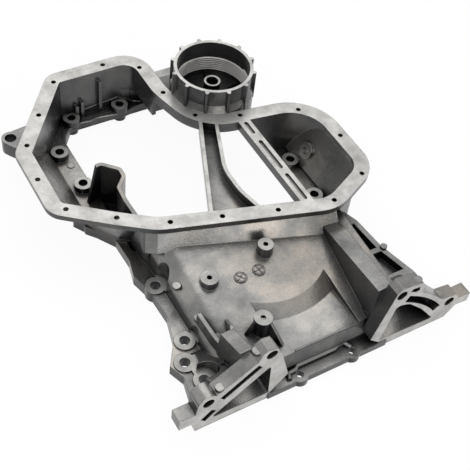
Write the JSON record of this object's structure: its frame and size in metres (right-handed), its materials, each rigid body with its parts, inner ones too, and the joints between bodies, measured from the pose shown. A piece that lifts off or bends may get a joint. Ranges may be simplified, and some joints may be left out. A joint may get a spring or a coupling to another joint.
{
  "type": "engine oil pan, upper",
  "caption": "Die-cast aluminium upper oil pan with a machined sump flange, block flange, split transmission face, ribbed bars and a screw-cap oil filter housing",
  "frame": {"origin": "point where the block face, the transmission face and the crank plane meet", "axes": "+X to the right across the engine seen from the transmission, +Y from the transmission face to the far end, +Z from the block face up to the sump flange"},
  "size_m": [0.34, 0.4175, 0.095],
  "materials": {
    "upper_pan_casting": "as-cast grey skin with machined bright faces"
  },
  "bodies": {
    "root": {"upper_pan_casting": "upper_pan_casting"}
  },
  "joints": []
}
